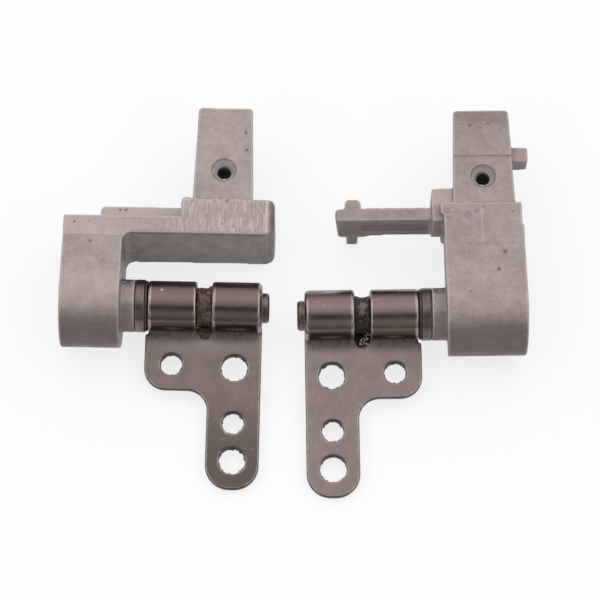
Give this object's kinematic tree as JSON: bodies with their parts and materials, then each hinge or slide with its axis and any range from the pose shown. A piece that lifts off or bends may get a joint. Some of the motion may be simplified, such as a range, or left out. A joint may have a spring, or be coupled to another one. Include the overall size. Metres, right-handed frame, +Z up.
{
  "type": "laptop hinge pair",
  "caption": "Pair of friction hinges for a laptop lid: die-cast lid arm, turned pin and washer, and a pressed steel leaf rolled round the pin.",
  "frame": {"origin": "on the surface the pair lies on, below the middle of its bounding box", "axes": "+X along the pair from the left hinge to the right one, +Y back towards the lid posts, +Z up"},
  "size_m": [0.0596, 0.0502, 0.0108],
  "materials": {
    "zinc_casting": "die-cast zinc, dull, with a brushed ground top face, small pits and worn edges",
    "turned_steel": "turned steel, darkened by oil, with a satin sheen",
    "dark_washer": "dark spring-steel washer, oily",
    "plated_sheet": "nickel-plated pressed steel, satin, brighter on the rolled curls"
  },
  "bodies": {
    "base_leaves": {"left_leaf": "plated_sheet", "right_leaf": "plated_sheet"},
    "left_lid_arm": {"left_arm": "zinc_casting", "left_pin": "turned_steel", "left_washer": "dark_washer"},
    "right_lid_arm": {"right_arm": "zinc_casting", "right_pin": "turned_steel", "right_washer": "dark_washer"}
  },
  "joints": [
    {"name": "left_lid_hinge", "type": "hinge", "parent": "base_leaves", "child": "left_lid_arm", "pos_m": [-0.02031, -0.00101, 0.0054], "axis": [0.9998, -0.0209, 0], "range_deg": [0, 168]},
    {"name": "right_lid_hinge", "type": "hinge", "parent": "base_leaves", "child": "right_lid_arm", "pos_m": [0.01714, -0.00217, 0.0054], "axis": [0.9999, 0.014, 0], "range_deg": [0, 168]}
  ]
}
